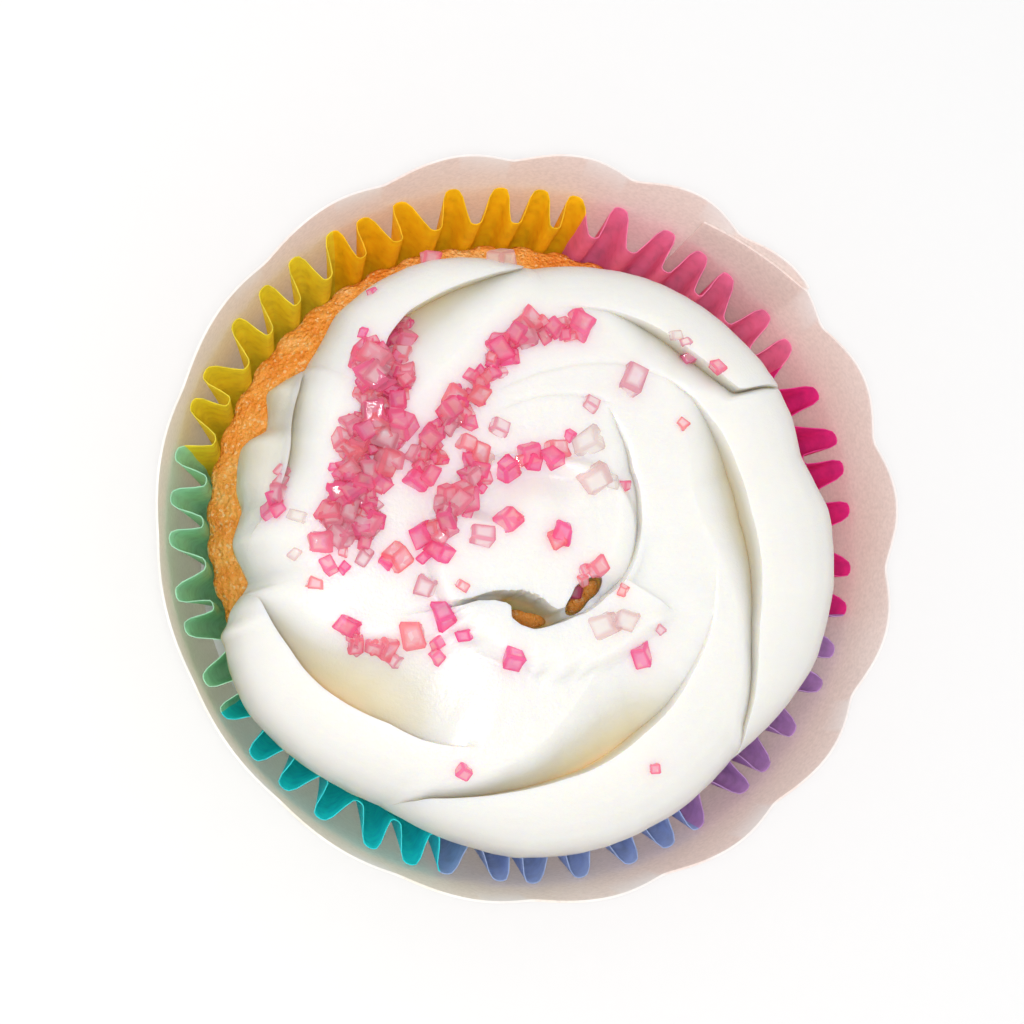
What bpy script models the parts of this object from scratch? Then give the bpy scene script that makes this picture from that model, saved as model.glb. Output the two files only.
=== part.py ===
"""A cupcake: sponge in a pleated paper case, a piped swirl of icing, and a scalloped card wrapper.

Metres, +Z up. The origin is the middle of the base, on the surface that the cupcake stands on.
"""

import math
import random

import bmesh
import bpy

# Paper case: a flat floor, and pleats that deepen from the floor to the rim.
PLEATS = 48
STEPS_PER_PLEAT = 6
CASE_HEIGHT = 0.0330
CASE_FLOOR_RADIUS = 0.0248  # inner folds, at the floor
CASE_RIM_RADIUS = 0.0311  # inner folds, at the rim
PLEAT_DEPTH_FLOOR = 0.0006
PLEAT_DEPTH_RIM = 0.0029
PLEAT_LOPSIDED = 0.0005  # how much deeper the pleats are on one side than halfway round
PLEAT_DEEPEST_AT = math.radians(180)
PAPER = 0.0003
PLEAT_REACH_SPREAD = 0.00022  # how much one fold reaches further than the next
PLEAT_LEAN_SPREAD = 0.10  # of one pleat, how far a fold sits off its even place
PLEAT_SEED = 11

# Card wrapper: an open cone with a scalloped upper edge.
SCALLOPS = 17
STEPS_PER_SCALLOP = 6
WRAPPER_FOOT_RADIUS = 0.0274
WRAPPER_FLARE = 0.239  # metres outward for each metre up
WRAPPER_CREST_HEIGHT = 0.0398
WRAPPER_SCALLOP_DEPTH = 0.0023
WRAPPER_FIRST_NOTCH = 5.2  # degrees clockwise from +X
SCALLOP_CROWDING = 8.0  # degrees that the scallops are moved on by, where they crowd most
SCALLOP_CROWDED_AT = 250.0
SCALLOP_CROWDED_WIDTH = 65.0
CARD = 0.0003

# Sponge: fills the case to just under its rim, and domes under the icing.
GAP = 0.0003  # clearance between pieces that touch
SPONGE_STEPS = 60
SPONGE_SIDE_RINGS = 2
SPONGE_DOME_RINGS = 7
SPONGE_SHOULDER_HEIGHT = 0.0274
SPONGE_CROWN_HEIGHT = 0.0352
SPONGE_DOME_POWER = 0.78
SPONGE_LEAN = 0.055  # the crown rises by this much for each metre towards +X
SPONGE_SHRINK = 0.0022  # how far the cake has drawn in from its case on one side
SPONGE_SHRUNK_AT = 262.0  # degrees
SPONGE_SHRUNK_WIDTH = 62.0

# Icing: one turn from a six-toothed nozzle. Each tooth leaves a lobe, whose edge is the swirl's outline
# until the next lobe starts. Then the edge crosses inward over that lobe and goes on round the middle.
SWIRL_CENTRE = (0.0008, -0.0024)
SWIRL_COLUMN = 4.3  # degrees from one column of points to the next
SWIRL_BAND_RINGS = 3  # rings of faces from one lobe's edge to the next
SWIRL_MIDDLE_RINGS = 3
SWIRL_WALL_RINGS = 4
SWIRL_UNDER_RINGS = 3
SWIRL_WIDEST_HEIGHT = 0.0362
SWIRL_PEAK_HEIGHT = 0.0488
SWIRL_DOME_POWER = 6.0
SWIRL_SHOULDER_POWER = 2.4
SWIRL_FOOT_SHARE = 0.875  # radius of the foot against the widest radius
CREASE_WIDTH = 0.0072  # width of the fall to a lobe's edge, at full depth
CREASE_STEP = 0.0003  # width of the rise on the far side
CREASE_FADE = 70.0  # degrees over which a crease thins out to a line, once its edge has crossed
LINE_DEPTH = 0.0004
LEAST_BAND = 0.0003  # an edge stays at least this far inside the next one
MERGE_TURN = 35.0  # degrees over which an edge joins the next one out, at the end of its turn
# Degrees and metres. start: azimuth. edge, swell, late: the outline's radius at the start, how far it
# bulges, and where. cross: turn that the crossing takes. inner, drift: radius after it, and its change in
# a quarter turn. deep: depth of the crease.
LOBES = (
    dict(start=190, edge=0.0284, swell=0.0034, late=0.55, cross=50, inner=0.0200, drift=-0.0030, deep=0.0042),
    dict(start=239, edge=0.0291, swell=0.0011, late=1.00, cross=60, inner=0.0192, drift=-0.0010, deep=0.0036),
    dict(start=313, edge=0.0284, swell=0.0017, late=0.90, cross=14, inner=0.0236, drift=-0.0040, deep=0.0028),
    dict(start=393, edge=0.0297, swell=0.0008, late=1.00, cross=22, inner=0.0260, drift=-0.0035, deep=0.0034),
    dict(start=452, edge=0.0279, swell=0.0026, late=1.00, cross=32, inner=0.0260, drift=-0.0010, deep=0.0022),
    dict(start=503, edge=0.0284, swell=0.0014, late=0.80, cross=50, inner=0.0229, drift=-0.0050, deep=0.0044),
)

# Pits: two small openings near the middle of the swirl, where the sponge shows.
PITS = (
    dict(name="pit_long", place=(-0.0008, -0.0094), half_length=0.0030, half_width=0.0015, turn=-8, lean=-5),
    dict(name="pit_short", place=(0.0050, -0.0078), half_length=0.0020, half_width=0.0009, turn=45, lean=-12),
)
PIT_FOOT_SHARE = 0.65  # size of a pit at its foot against its mouth
PIT_CUT_HEIGHT = 0.0190


def clear_scene():
    for obj in list(bpy.data.objects):
        bpy.data.objects.remove(obj, do_unlink=True)


def new_collection(name):
    collection = bpy.data.collections.new(name)
    bpy.context.scene.collection.children.link(collection)
    return collection


def new_material(name, colour, roughness):
    material = bpy.data.materials.new(name)
    material.use_nodes = True
    shader = material.node_tree.nodes["Principled BSDF"]
    shader.inputs["Base Color"].default_value = (*colour, 1.0)
    shader.inputs["Roughness"].default_value = roughness
    shader.inputs["Metallic"].default_value = 0.0
    material.diffuse_color = (*colour, 1.0)
    return material


def add_object(name, bm, collection, material):
    mesh = bpy.data.meshes.new(name)
    bmesh.ops.recalc_face_normals(bm, faces=bm.faces)
    bm.to_mesh(mesh)
    bm.free()
    mesh.shade_smooth()
    mesh.set_sharp_from_angle(angle=math.radians(40))
    obj = bpy.data.objects.new(name, mesh)
    obj.data.materials.append(material)
    collection.objects.link(obj)
    return obj


def give_thickness(obj, thickness):
    """Solidify outward, so that the modelled surface is the inner face, and set the foot flat on the floor."""
    solidify = obj.modifiers.new("Thickness", "SOLIDIFY")
    solidify.thickness = thickness
    solidify.offset = 1.0
    solidify.use_even_offset = True
    graph = bpy.context.evaluated_depsgraph_get()
    obj.data = bpy.data.meshes.new_from_object(obj.evaluated_get(graph))
    obj.modifiers.remove(solidify)
    for vert in obj.data.vertices:
        if vert.co.z < 0.5 * thickness:
            vert.co.z = 0.0


def smooth_step(share):
    share = min(max(share, 0.0), 1.0)
    return share * share * (3.0 - 2.0 * share)


# ---- paper case ----


def case_fold_radius(height):
    """Radius of the case's inner folds at a height."""
    return CASE_FLOOR_RADIUS + (CASE_RIM_RADIUS - CASE_FLOOR_RADIUS) * height / CASE_HEIGHT


def build_paper_case(collection, material):
    """A cone that is open at the top, whose sides are drawn out into pleats."""
    drift = random.Random(PLEAT_SEED)
    reaches = [drift.uniform(-1, 1) * PLEAT_REACH_SPREAD for _ in range(PLEATS)]
    leans = [drift.uniform(-1, 1) * PLEAT_LEAN_SPREAD for _ in range(PLEATS)]
    steps = PLEATS * STEPS_PER_PLEAT
    bm = bmesh.new()
    radii = dict(radius1=CASE_FLOOR_RADIUS, radius2=CASE_RIM_RADIUS)
    bmesh.ops.create_cone(bm, cap_ends=True, segments=steps, depth=CASE_HEIGHT, **radii)
    lid = [face for face in bm.faces if len(face.verts) == steps and face.calc_center_median().z > 0]
    bmesh.ops.delete(bm, geom=lid, context="FACES_ONLY")
    for vert in bm.verts:
        at_rim = vert.co.z > 0
        place = math.atan2(vert.co.y, vert.co.x) / math.tau * PLEATS
        pleat = math.floor(place + 1e-6)
        rise = 0.5 - 0.5 * math.cos(math.tau * (place - pleat))
        lopsided = PLEAT_LOPSIDED * math.cos(place / PLEATS * math.tau - PLEAT_DEEPEST_AT)
        depth = PLEAT_DEPTH_RIM + lopsided + reaches[pleat % PLEATS] if at_rim else PLEAT_DEPTH_FLOOR
        radius = (CASE_RIM_RADIUS if at_rim else CASE_FLOOR_RADIUS) + depth * rise
        angle = (place + leans[pleat % PLEATS] * rise) / PLEATS * math.tau
        vert.co.x = radius * math.cos(angle)
        vert.co.y = radius * math.sin(angle)
        vert.co.z = CASE_HEIGHT if at_rim else PAPER
    case = add_object("paper_case", bm, collection, material)
    give_thickness(case, PAPER)
    return case


# ---- card wrapper ----


def scallop_point(turn):
    """Azimuth and height of the wrapper's upper edge: round crests that meet in narrower dips.

    turn is in degrees clockwise from a dip, counted as if the scallops were evenly spaced.
    """
    even = turn + WRAPPER_FIRST_NOTCH
    crowd = math.exp(-(((even - SCALLOP_CROWDED_AT) / SCALLOP_CROWDED_WIDTH) ** 2))
    crest = math.sqrt((math.sin(math.radians(0.5 * SCALLOPS * turn)) ** 2 + 0.03) / 1.03)
    height = WRAPPER_CREST_HEIGHT - WRAPPER_SCALLOP_DEPTH * (1.0 - crest)
    return -math.radians(even + SCALLOP_CROWDING * crowd), height


def build_wrapper(collection, material):
    """A cone that is open at both ends, with its upper edge moved to the scallops along the card's slope."""
    bm = bmesh.new()
    bmesh.ops.create_cone(
        bm, cap_ends=False, segments=SCALLOPS * STEPS_PER_SCALLOP, radius1=1.0, radius2=1.0, depth=1.0
    )
    for vert in bm.verts:
        turn = math.degrees(math.atan2(vert.co.y, vert.co.x)) % 360
        angle, crest = scallop_point(turn)
        height = crest if vert.co.z > 0 else 0.0
        radius = WRAPPER_FOOT_RADIUS + WRAPPER_FLARE * height
        vert.co = (radius * math.cos(angle), radius * math.sin(angle), height)
    wrapper = add_object("wrapper", bm, collection, material)
    give_thickness(wrapper, CARD)
    return wrapper


# ---- sponge ----


def sponge_radius(height):
    return case_fold_radius(height) - GAP


def sponge_shrink(azimuth):
    """How far the cake has drawn in from its case, at an azimuth in degrees."""
    away = (azimuth - SPONGE_SHRUNK_AT + 180.0) % 360.0 - 180.0
    return SPONGE_SHRINK * math.exp(-((away / SPONGE_SHRUNK_WIDTH) ** 4))


def sponge_top(x, y):
    """Height of the sponge's domed crown."""
    reach = sponge_radius(SPONGE_SHOULDER_HEIGHT)
    inside = max(1.0 - (x * x + y * y) / (reach * reach), 0.0)
    dome = (SPONGE_CROWN_HEIGHT - SPONGE_SHOULDER_HEIGHT) * inside**SPONGE_DOME_POWER
    return SPONGE_SHOULDER_HEIGHT + dome + SPONGE_LEAN * x


def build_sponge(collection, material):
    """A profile from the floor's middle to the crown, spun round +Z, with its crown leaned afterwards."""
    floor = 2 * PAPER
    profile = [(0.0, floor), (sponge_radius(floor), floor)]
    for ring in range(1, SPONGE_SIDE_RINGS + 1):
        height = floor + (SPONGE_SHOULDER_HEIGHT - floor) * ring / SPONGE_SIDE_RINGS
        profile.append((sponge_radius(height), height))
    reach = sponge_radius(SPONGE_SHOULDER_HEIGHT)
    for ring in range(1, SPONGE_DOME_RINGS + 1):
        radius = reach * math.cos(0.5 * math.pi * ring / SPONGE_DOME_RINGS)
        radius = 0.0 if ring == SPONGE_DOME_RINGS else radius
        profile.append((radius, sponge_top(0.0, radius)))
    bm = bmesh.new()
    verts = [bm.verts.new((radius, 0.0, height)) for radius, height in profile]
    edges = [bm.edges.new(pair) for pair in zip(verts, verts[1:])]
    bmesh.ops.spin(bm, geom=verts + edges, axis=(0, 0, 1), cent=(0, 0, 0), angle=math.tau, steps=SPONGE_STEPS)
    bmesh.ops.remove_doubles(bm, verts=bm.verts, dist=1e-6)
    for vert in bm.verts:
        raised = smooth_step((vert.co.z - floor) / (SPONGE_SHOULDER_HEIGHT - floor))
        vert.co.z += SPONGE_LEAN * vert.co.x * raised
        drawn_in = sponge_shrink(math.degrees(math.atan2(vert.co.y, vert.co.x))) / reach
        vert.co.x *= 1.0 - drawn_in * raised
        vert.co.y *= 1.0 - drawn_in * raised
    return add_object("sponge", bm, collection, material)


# ---- icing ----


def lobe_at(index):
    return LOBES[index % len(LOBES)]


def lobe_span(index):
    """Degrees from a lobe's start to the next lobe's."""
    return (lobe_at(index + 1)["start"] - lobe_at(index)["start"]) % 360


def outline_radius(index, turned):
    """Widest radius of the swirl, a number of degrees after a lobe's start."""
    lobe = lobe_at(index)
    share = turned / lobe_span(index)
    straight = lobe["edge"] + (lobe_at(index + 1)["edge"] - lobe["edge"]) * share
    bulge = max(math.sin(math.pi * share ** lobe["late"]), 0.0)
    return straight + lobe["swell"] * bulge**0.7


def edge_radius(index, crossing):
    """Radius of a lobe's edge, a number of degrees after it has left the outline."""
    lobe = lobe_at(index)
    outside = lobe_at(index + 1)["edge"]
    inside = lobe["inner"] + lobe["drift"] * max(crossing - lobe["cross"], 0.0) / 90.0
    return outside + (inside - outside) * smooth_step(crossing / lobe["cross"])


def swirl_edges(index, turned):
    """(radius, crease depth) of the outline and of each older lobe's edge inside it, from the outside in."""
    edges = [(outline_radius(index, turned), 0.0)]
    crossing = turned
    for older in range(1, len(LOBES)):
        outer = edges[-1][0]
        limit = outer if older == 1 else outer - LEAST_BAND
        radius = min(edge_radius(index - older, crossing), limit)
        left = 360.0 - crossing - lobe_span(index - older)
        radius += (outer - radius) * smooth_step(1.0 - left / MERGE_TURN)
        lobe = lobe_at(index - older)
        thinned = smooth_step((crossing - 0.6 * lobe["cross"]) / CREASE_FADE)
        depth = lobe["deep"] + (LINE_DEPTH - lobe["deep"]) * thinned
        edges.append((radius, depth * smooth_step((outer - radius) / 0.0015)))
        crossing += lobe_span(index - older)
    return edges


def crease_drop(inside, depth):
    """How far a crease lowers the icing, at a distance inside its edge (outside it, if negative)."""
    width = CREASE_WIDTH * (0.2 + 0.8 * depth / LOBES[0]["deep"]) if inside > 0 else CREASE_STEP
    near = max(1.0 - abs(inside) / width, 0.0)
    return depth * near * near


def swirl_plan(radius, azimuth):
    angle = math.radians(azimuth)
    return SWIRL_CENTRE[0] + radius * math.cos(angle), SWIRL_CENTRE[1] + radius * math.sin(angle)


def swirl_top(radius, azimuth, edges):
    """The icing's upper surface: a dome, lowered along each lobe's crease."""
    share = min(radius / edges[0][0], 1.0)
    dome = (1.0 - share**SWIRL_DOME_POWER) ** (1.0 / SWIRL_SHOULDER_POWER)
    height = SWIRL_WIDEST_HEIGHT + (SWIRL_PEAK_HEIGHT - SWIRL_WIDEST_HEIGHT) * dome
    plan = swirl_plan(radius, azimuth)
    drop = sum(crease_drop(edge - radius, depth) for edge, depth in edges)
    return (*plan, max(height - drop, SWIRL_WIDEST_HEIGHT))


def swirl_column(index, turned):
    """Points from the top's middle out to the widest edge, down the wall, and under to the middle."""
    azimuth = lobe_at(index)["start"] + turned
    edges = swirl_edges(index, turned)
    outline = edges[0][0]
    radii = [edges[-1][0] * ring / SWIRL_MIDDLE_RINGS for ring in range(SWIRL_MIDDLE_RINGS + 1)]
    for (outer, _), (inner, _) in reversed(list(zip(edges, edges[1:]))):
        step = min(CREASE_STEP, 0.2 * (outer - inner))
        radii.append(inner + step)
        for ring in range(1, SWIRL_BAND_RINGS + 1):
            share = math.sin(0.5 * math.pi * ring / SWIRL_BAND_RINGS)
            radii.append(inner + step + (outer - inner - step) * share)
    points = [swirl_top(radius, azimuth, edges) for radius in radii]
    foot = SWIRL_FOOT_SHARE * outline
    foot_height = sponge_top(*swirl_plan(foot, azimuth)) + 1.5 * GAP
    for ring in range(1, SWIRL_WALL_RINGS):
        share = ring / SWIRL_WALL_RINGS
        radius = foot + (outline - foot) * 0.5 * (1.0 + math.cos(math.pi * share))
        height = SWIRL_WIDEST_HEIGHT + (foot_height - SWIRL_WIDEST_HEIGHT) * share
        points.append((*swirl_plan(radius, azimuth), height))
    for ring in range(SWIRL_UNDER_RINGS + 1):
        plan = swirl_plan(foot * (1.0 - ring / SWIRL_UNDER_RINGS), azimuth)
        points.append((*plan, sponge_top(*plan) + 1.5 * GAP))
    return points


def build_icing(collection, material):
    """A grid for each lobe's sector, laid over the swirl with a line of points along every edge, then merged.

    Where a lobe starts or ends, the strip beside its edge has no width there, and merges away.
    """
    bm = bmesh.new()
    for index in range(len(LOBES)):
        span = lobe_span(index)
        columns = round(span / SWIRL_COLUMN)
        grid = [swirl_column(index, span * column / columns) for column in range(columns + 1)]
        rows = len(grid[0]) - 1
        made = bmesh.ops.create_grid(bm, x_segments=columns, y_segments=rows, size=0.5)
        for vert in made["verts"]:
            column = round((vert.co.x + 0.5) * columns)
            row = round((vert.co.y + 0.5) * rows)
            vert.co = grid[column][row]
    bmesh.ops.remove_doubles(bm, verts=bm.verts, dist=2e-6)
    return add_object("icing", bm, collection, material)


def build_pit_cutter(pit, collection):
    """A leaning oval cone that is wider at the top, from above the icing to below its underside."""
    bm = bmesh.new()
    bmesh.ops.create_cone(bm, cap_ends=True, segments=16, radius1=PIT_FOOT_SHARE, radius2=1.0, depth=1.0)
    for vert in bm.verts:
        vert.co.x *= pit["half_length"]
        vert.co.y *= pit["half_width"]
        vert.co.z *= PIT_CUT_HEIGHT
    mesh = bpy.data.meshes.new(pit["name"])
    bm.to_mesh(mesh)
    bm.free()
    cutter = bpy.data.objects.new(pit["name"], mesh)
    cutter.location = (*pit["place"], 0.5 * (SPONGE_CROWN_HEIGHT + SWIRL_PEAK_HEIGHT))
    cutter.rotation_euler = (0.0, math.radians(pit["lean"]), math.radians(pit["turn"]))
    cutter.hide_render = True
    cutter.display_type = "WIRE"
    collection.objects.link(cutter)
    return cutter


def cut(obj, cutter):
    boolean = obj.modifiers.new("Cut " + cutter.name, "BOOLEAN")
    boolean.operation = "DIFFERENCE"
    boolean.solver = "EXACT"
    boolean.object = cutter


def main():
    clear_scene()
    cupcake = new_collection("cupcake")
    cutters = new_collection("cutters")
    build_paper_case(cupcake, new_material("coloured greaseproof paper", (0.62, 0.30, 0.36), 0.55))
    build_wrapper(cupcake, new_material("cream card", (0.80, 0.68, 0.62), 0.45))
    build_sponge(cupcake, new_material("baked sponge", (0.78, 0.40, 0.11), 0.75))
    icing = build_icing(cupcake, new_material("buttercream", (0.90, 0.89, 0.86), 0.45))
    for pit in PITS:
        cut(icing, build_pit_cutter(pit, cutters))


main()
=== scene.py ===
import math
import random
from functools import partial

import bmesh
import bpy
import numpy as np
from mathutils import Matrix, Vector, noise
from mathutils.bvhtree import BVHTree


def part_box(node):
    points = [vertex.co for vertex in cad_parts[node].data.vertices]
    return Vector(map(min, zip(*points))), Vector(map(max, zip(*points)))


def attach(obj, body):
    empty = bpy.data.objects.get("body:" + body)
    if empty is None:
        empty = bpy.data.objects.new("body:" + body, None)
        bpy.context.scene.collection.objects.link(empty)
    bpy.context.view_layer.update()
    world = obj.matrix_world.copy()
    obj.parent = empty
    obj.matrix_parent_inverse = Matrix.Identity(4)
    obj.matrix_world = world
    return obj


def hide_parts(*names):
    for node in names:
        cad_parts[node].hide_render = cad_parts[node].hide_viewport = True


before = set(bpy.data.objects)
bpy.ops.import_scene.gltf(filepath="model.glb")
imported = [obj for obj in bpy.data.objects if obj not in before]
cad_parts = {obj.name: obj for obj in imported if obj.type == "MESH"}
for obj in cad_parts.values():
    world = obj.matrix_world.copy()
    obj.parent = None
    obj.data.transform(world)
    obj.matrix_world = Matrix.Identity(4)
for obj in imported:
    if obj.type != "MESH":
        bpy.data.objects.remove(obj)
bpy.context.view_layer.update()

mm = 0.001
bpy.ops.object.select_all(action="DESELECT")


# rows are (where, value, value, ...), where a value left out is 0; between rows the values run smoothly
def along(rows, where, column=1, soften=1.2):
    places = np.array([row[0] for row in rows], float)
    values = np.array([row[column] if column < len(row) else 0 for row in rows], float)
    near = where + soften * np.array([-1.5, -0.75, 0.0, 0.75, 1.5])
    return float(np.mean(np.interp(near, places, values)))


def smoothStep(share):
    share = np.clip(share, 0.0, 1.0)
    return share * share * (3.0 - 2.0 * share)


# sRGB hex to linear light
def linearColour(hexCode):
    values = [int(hexCode[i:i + 2], 16) / 255 for i in (0, 2, 4)]
    return [v / 12.92 if v <= 0.04045 else ((v + 0.055) / 1.055) ** 2.4 for v in values] + [1.0]


# adds a node; inputs holds values, or what to link from: an output socket, or a node for its first one
def addNode(material, kind, inputs=None, **settings):
    node = material.node_tree.nodes.new(kind)
    for name, value in settings.items():
        setattr(node, name, value)
    for socket, value in (inputs or {}).items():
        if isinstance(value, bpy.types.Node):
            value = value.outputs[0]
        if isinstance(value, bpy.types.NodeSocket):
            material.node_tree.links.new(value, node.inputs[socket])
        else:
            node.inputs[socket].default_value = value
    return node


# a new material, and addNode for it
def newMaterial(name):
    material = bpy.data.materials.new(name)
    material.use_nodes = True
    material.node_tree.nodes.clear()
    return material, partial(addNode, material)


def finishMaterial(material, shader):
    addNode(material, "ShaderNodeOutputMaterial", {"Surface": shader})
    return material


# a colour ramp node with its stops as (place, hex colour)
def setStops(ramp, stops, interpolation="LINEAR"):
    ramp.color_ramp.interpolation = interpolation
    elements = ramp.color_ramp.elements
    while len(elements) < len(stops):
        elements.new(0.5)
    for element, (place, hexCode) in zip(elements, stops):
        element.position = place
        element.color = linearColour(hexCode)
    return ramp.outputs["Color"]


def selectOnly(*pieces):
    bpy.ops.object.select_all(action="DESELECT")
    bpy.context.view_layer.objects.active = pieces[0]
    for obj in pieces:
        obj.select_set(True)


def finishPiece(obj, name, material, node=None, smoothAngle=60):
    selectOnly(obj)
    obj.name = name
    obj.data.name = name
    obj.data.materials.clear()
    obj.data.materials.append(material)
    bpy.ops.object.shade_smooth_by_angle(angle=math.radians(smoothAngle))
    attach(obj, "root")
    if node:
        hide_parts(node)
    obj.select_set(False)
    print(name, "made,", sum(len(p.vertices) - 2 for p in obj.data.polygons), "triangles")
    return obj


# moves every vertex of a mesh to where place(co) says
def shapeVertices(obj, place):
    for vertex in obj.data.vertices:
        vertex.co = place(vertex.co)


# stores one number a vertex for the material to read
def markVertices(obj, name, value):
    layer = obj.data.attributes.new(name, "FLOAT", "POINT")
    for vertex in obj.data.vertices:
        layer.data[vertex.index].value = value(vertex.co)


def thicken(obj, thickness):
    solidify = obj.modifiers.new("thickness", "SOLIDIFY")
    solidify.thickness = thickness
    solidify.offset = 1.0
    bpy.ops.object.modifier_apply(modifier=solidify.name)


# merges doubles and turns all faces outwards
def cleanMesh(obj, distance=2e-6):
    selectOnly(obj)
    bpy.ops.object.mode_set(mode="EDIT")
    bpy.ops.mesh.select_all(action="SELECT")
    bpy.ops.mesh.remove_doubles(threshold=distance)
    bpy.ops.mesh.normals_make_consistent(inside=False)
    bpy.ops.object.mode_set(mode="OBJECT")
    obj.select_set(False)


caseLow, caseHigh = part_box("paper_case")
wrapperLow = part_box("wrapper")[0]
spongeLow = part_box("sponge")[0]
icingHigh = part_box("icing")[1]


# here and below, sizes are in mm and angles in degrees
case = {
    "pleats": 48, "stepsPerPleat": 14, "rings": 10, "paper": 0.09,
    "floorRadius": 24.8, "foldRadius": 31.1,
    "depthAtFloor": 0.6, "depthAtRim": 3.66, "lopsided": 0.3, "deepestAt": 20.0,
    "opening": 2.2, "fingerFlatness": 2.0, "fingerShare": 0.1, "skew": 0.08,
    "reachSpread": 0.12, "leanSpread": 0.20, "seed": 11,
    "crinkle": 0.06, "crinklesAcross": 1.7, "crinklesUp": 9.0,
    # dyed panels: each starts at its azimuth and runs on to the azimuth of the one before it
    "panels": ((167, "c4f0da"), (122, "f3ea4a"), (77, "f8dc22"), (32, "f49ec6"), (-13, "ec46aa"),
               (-58, "ceacde"), (-103, "b8ccf0"), (-148, "34eef6"), (-180, "c4f0da")),
}


# how far out of its fold a pleat stands: share is across one pleat, up is from floor to rim
def pleatRise(share, azimuth, up, reach=0.0):
    across = share + case["skew"] * math.sin(math.tau * share) / math.pi
    wave = math.cos(math.tau * across) + case["fingerShare"]
    flat = case["fingerFlatness"]
    low = math.tanh(flat * (case["fingerShare"] - 1))
    high = math.tanh(flat * (case["fingerShare"] + 1))
    rise = (high - math.tanh(flat * wave)) / (high - low)
    uneven = case["lopsided"] * math.cos(math.radians(azimuth - case["deepestAt"]))
    rim = case["depthAtRim"] + uneven + reach
    depth = case["depthAtFloor"] + (rim - case["depthAtFloor"]) * up ** case["opening"]
    return depth * rise, rise


def foldRadius(height):
    widening = case["foldRadius"] - case["floorRadius"]
    return case["floorRadius"] + widening * height / (caseHigh[2] / mm)


def makeCase():
    height = caseHigh[2] / mm
    draw = random.Random(case["seed"])
    count = case["pleats"]
    reaches = [draw.uniform(-1, 1) * case["reachSpread"] for _ in range(count)]
    leans = [draw.uniform(-1, 1) * case["leanSpread"] for _ in range(count)]
    bpy.ops.mesh.primitive_cone_add(
        vertices=count * case["stepsPerPleat"], radius1=case["floorRadius"] * mm,
        radius2=case["foldRadius"] * mm, depth=height * mm, location=(0, 0, 0.5 * height * mm),
        end_fill_type="NGON")
    obj = bpy.context.object
    # opens the top and cuts the side into rings
    bpy.ops.object.mode_set(mode="EDIT")
    bm = bmesh.from_edit_mesh(obj.data)
    for face in bm.faces:
        face.select = len(face.verts) > 4 and face.calc_center_median().z > 0
    bpy.ops.mesh.delete(type="ONLY_FACE")
    bm = bmesh.from_edit_mesh(obj.data)
    for edge in bm.edges:
        edge.select = abs(edge.verts[0].co.z - edge.verts[1].co.z) > 0.5 * height * mm
    bpy.ops.mesh.subdivide(number_cuts=case["rings"] - 1)
    bpy.ops.object.mode_set(mode="OBJECT")
    bpy.ops.object.transform_apply(location=True)

    def place(co):
        up = co.z / mm / height
        turn = math.atan2(co.y, co.x) / math.tau * count
        pleat = math.floor(turn + 1e-6)
        out, rise = pleatRise(turn - pleat, turn / count * 360, up, reaches[pleat % count])
        radius = foldRadius(co.z / mm) + out
        angle = (turn + leans[pleat % count] * rise * up) / count * math.tau
        spot = Vector((turn * case["crinklesAcross"], up * case["crinklesUp"], 3.1))
        radius += case["crinkle"] * up * noise.noise(spot)
        inside = max(co.z, case["paper"] * mm)
        return (radius * mm * math.cos(angle), radius * mm * math.sin(angle), inside)

    shapeVertices(obj, place)
    thicken(obj, case["paper"] * mm)
    for vertex in obj.data.vertices:
        vertex.co.z = min(max(vertex.co.z, caseLow[2]), caseHigh[2])
    return obj


# dyed greaseproof paper: thin and dull, and light comes through it, so its folds glow where two sides
# face each other
def makePaperMaterial():
    material, add = newMaterial("dyedGreaseproofPaper")
    spot = add("ShaderNodeTexCoord").outputs["Object"]
    parts = add("ShaderNodeSeparateXYZ", {0: spot})
    # the dye's edges wander over some 6 mm
    flow = add("ShaderNodeTexNoise", {"Vector": spot, "Scale": 160.0, "Detail": 2.0})
    wobble = add("ShaderNodeMath", {0: flow, 1: 0.5}, operation="SUBTRACT")
    angle = add("ShaderNodeMath", {
        0: parts.outputs["Y"], 1: parts.outputs["X"]}, operation="ARCTAN2")
    drift = add("ShaderNodeMath", {0: wobble, 1: 0.012, 2: angle}, operation="MULTIPLY_ADD")
    turn = add("ShaderNodeMath", {0: drift, 1: 1 / math.tau, 2: 0.5}, operation="MULTIPLY_ADD")
    # place 0 of the ramp is azimuth -180
    ramp = add("ShaderNodeValToRGB", {"Fac": turn})
    stops = sorted((max((azimuth + 180) / 360, 0.0), hexCode) for azimuth, hexCode in case["panels"])
    colour = setStops(ramp, stops, "CONSTANT")
    # fibres of about 1 mm
    fibres = add("ShaderNodeTexNoise", {
        "Vector": spot, "Scale": 900.0, "Detail": 4.0, "Roughness": 0.6})
    mottle = add("ShaderNodeMapRange", {
        "Value": fibres, "From Min": 0.3, "From Max": 0.7, "To Min": 0.88, "To Max": 1.1})
    dyed = add("ShaderNodeHueSaturation", {"Color": colour, "Value": mottle})
    bump = add("ShaderNodeBump", {"Height": fibres, "Strength": 0.25, "Distance": 0.00008})
    paper = add("ShaderNodeBsdfPrincipled", {
        "Base Color": dyed, "Roughness": 0.5, "IOR": 1.5, "Normal": bump})
    through = add("ShaderNodeHueSaturation", {
        "Color": dyed, "Value": 1.2, "Saturation": 0.92})
    glow = add("ShaderNodeBsdfTranslucent", {"Color": through, "Normal": bump})
    mix = add("ShaderNodeMixShader", {"Fac": 0.55, 1: paper, 2: glow})
    return finishMaterial(material, mix)


pleatedCase = finishPiece(makeCase(), "pleatedCase", makePaperMaterial(), "paper_case")


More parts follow.
